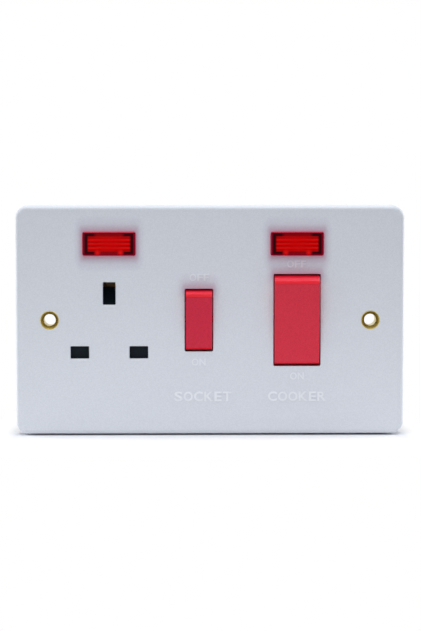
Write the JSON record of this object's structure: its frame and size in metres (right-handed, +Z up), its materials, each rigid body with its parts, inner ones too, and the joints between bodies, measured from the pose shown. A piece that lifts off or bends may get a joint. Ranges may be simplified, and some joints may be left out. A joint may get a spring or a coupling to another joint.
{
  "type": "cooker control unit",
  "caption": "White wall plate with a wide red double-pole cooker rocker, a shuttered flat-pin socket with its own red rocker, red neon lenses and clamp terminals behind.",
  "frame": {"origin": "midway between the two fixing holes, on the wall plane", "axes": "+X to the right seen from the front, +Y into the wall, +Z up"},
  "size_m": [0.146, 0.0356, 0.086],
  "materials": {
    "white_moulding": "fine satin",
    "cream_moulding": "satin",
    "red_moulding": "satin gloss",
    "red_lens": "clear, polished",
    "lamp_glass": "clear",
    "resistor_body": "lacquered",
    "tinned_wire": "tinned",
    "black_moulding": "satin",
    "bright_steel": "zinc plated",
    "silver": "bright",
    "brass": "rolled"
  },
  "bodies": {
    "unit": {"face_plate": "white_moulding", "fixing_bush_left": "brass", "fixing_bush_right": "brass", "socket_neon_lens": "red_lens", "cooker_neon_lens": "red_lens", "socket_neon_lamp": "lamp_glass", "cooker_neon_lamp": "lamp_glass", "socket_neon_resistor": "resistor_body", "cooker_neon_resistor": "resistor_body", "socket_neon_leads": "tinned_wire", "cooker_neon_leads": "tinned_wire", "contact_carrier": "cream_moulding", "rear_cover": "cream_moulding", "assembly_screws": "bright_steel", "line_supply_terminal": "brass", "neutral_supply_terminal": "brass", "line_load_terminal": "brass", "neutral_load_terminal": "brass", "terminal_screws": "brass", "cooker_line_fixed_tip": "silver", "cooker_neutral_fixed_tip": "silver", "socket_fixed_tip": "silver", "line_link": "brass", "socket_fulcrum": "brass", "line_pin_contact": "brass", "neutral_pin_contact": "brass", "earth_pin_contact": "brass", "earth_strap": "brass", "shutter_spring": "bright_steel"},
    "cooker_rocker": {"cooker_rocker": "red_moulding", "cooker_line_spring": "bright_steel", "cooker_neutral_spring": "bright_steel"},
    "cooker_line_plunger": {"cooker_line_plunger": "black_moulding"},
    "cooker_neutral_plunger": {"cooker_neutral_plunger": "black_moulding"},
    "cooker_line_contact": {"cooker_line_moving_contact": "brass", "cooker_line_moving_tip": "silver"},
    "cooker_neutral_contact": {"cooker_neutral_moving_contact": "brass", "cooker_neutral_moving_tip": "silver"},
    "socket_rocker": {"socket_rocker": "red_moulding", "socket_spring": "bright_steel"},
    "socket_plunger": {"socket_plunger": "black_moulding"},
    "socket_contact": {"socket_moving_contact": "brass", "socket_moving_tip": "silver"},
    "shutter": {"shutter": "black_moulding"}
  },
  "joints": [
    {"name": "cooker_rocker_tilt", "type": "hinge", "parent": "unit", "child": "cooker_rocker", "pos_m": [0.0327, -0.0034, 0], "axis": [-1, 0, 0], "range_deg": [0, 16]},
    {"name": "socket_rocker_tilt", "type": "hinge", "parent": "unit", "child": "socket_rocker", "pos_m": [-0.0042, -0.005, 0], "axis": [-1, 0, 0], "range_deg": [0, 16]},
    {"name": "cooker_line_contact_tilt", "type": "hinge", "parent": "unit", "child": "cooker_line_contact", "pos_m": [0.0372, 0.008, 0], "axis": [1, 0, 0], "range_deg": [0, 14]},
    {"name": "cooker_neutral_contact_tilt", "type": "hinge", "parent": "unit", "child": "cooker_neutral_contact", "pos_m": [0.0282, 0.008, 0], "axis": [1, 0, 0], "range_deg": [0, 14]},
    {"name": "socket_contact_tilt", "type": "hinge", "parent": "unit", "child": "socket_contact", "pos_m": [-0.0042, 0.008, 0], "axis": [1, 0, 0], "range_deg": [0, 14]},
    {"name": "cooker_line_plunger_slide", "type": "slide", "parent": "cooker_rocker", "child": "cooker_line_plunger", "axis": [0, -0.9903, -0.1392], "range_m": [0, 0.0005], "stiffness_N_per_m": 800, "springref_m": -0.002, "deforming": ["cooker_line_spring"]},
    {"name": "cooker_neutral_plunger_slide", "type": "slide", "parent": "cooker_rocker", "child": "cooker_neutral_plunger", "axis": [0, -0.9903, -0.1392], "range_m": [0, 0.0005], "stiffness_N_per_m": 800, "springref_m": -0.002, "deforming": ["cooker_neutral_spring"]},
    {"name": "socket_plunger_slide", "type": "slide", "parent": "socket_rocker", "child": "socket_plunger", "axis": [0, -0.9903, -0.1392], "range_m": [0, 0.0005], "stiffness_N_per_m": 800, "springref_m": -0.002, "deforming": ["socket_spring"]},
    {"name": "shutter_slide", "type": "slide", "parent": "unit", "child": "shutter", "axis": [0, 0, -1], "range_m": [0, 0.0063], "stiffness_N_per_m": 150, "springref_m": -0.004, "deforming": ["shutter_spring"]}
  ],
  "couplings": [
    {"joint": "cooker_line_contact_tilt", "follows": "cooker_rocker_tilt", "ratio": 0.875},
    {"joint": "cooker_neutral_contact_tilt", "follows": "cooker_rocker_tilt", "ratio": 0.875},
    {"joint": "socket_contact_tilt", "follows": "socket_rocker_tilt", "ratio": 0.875}
  ]
}
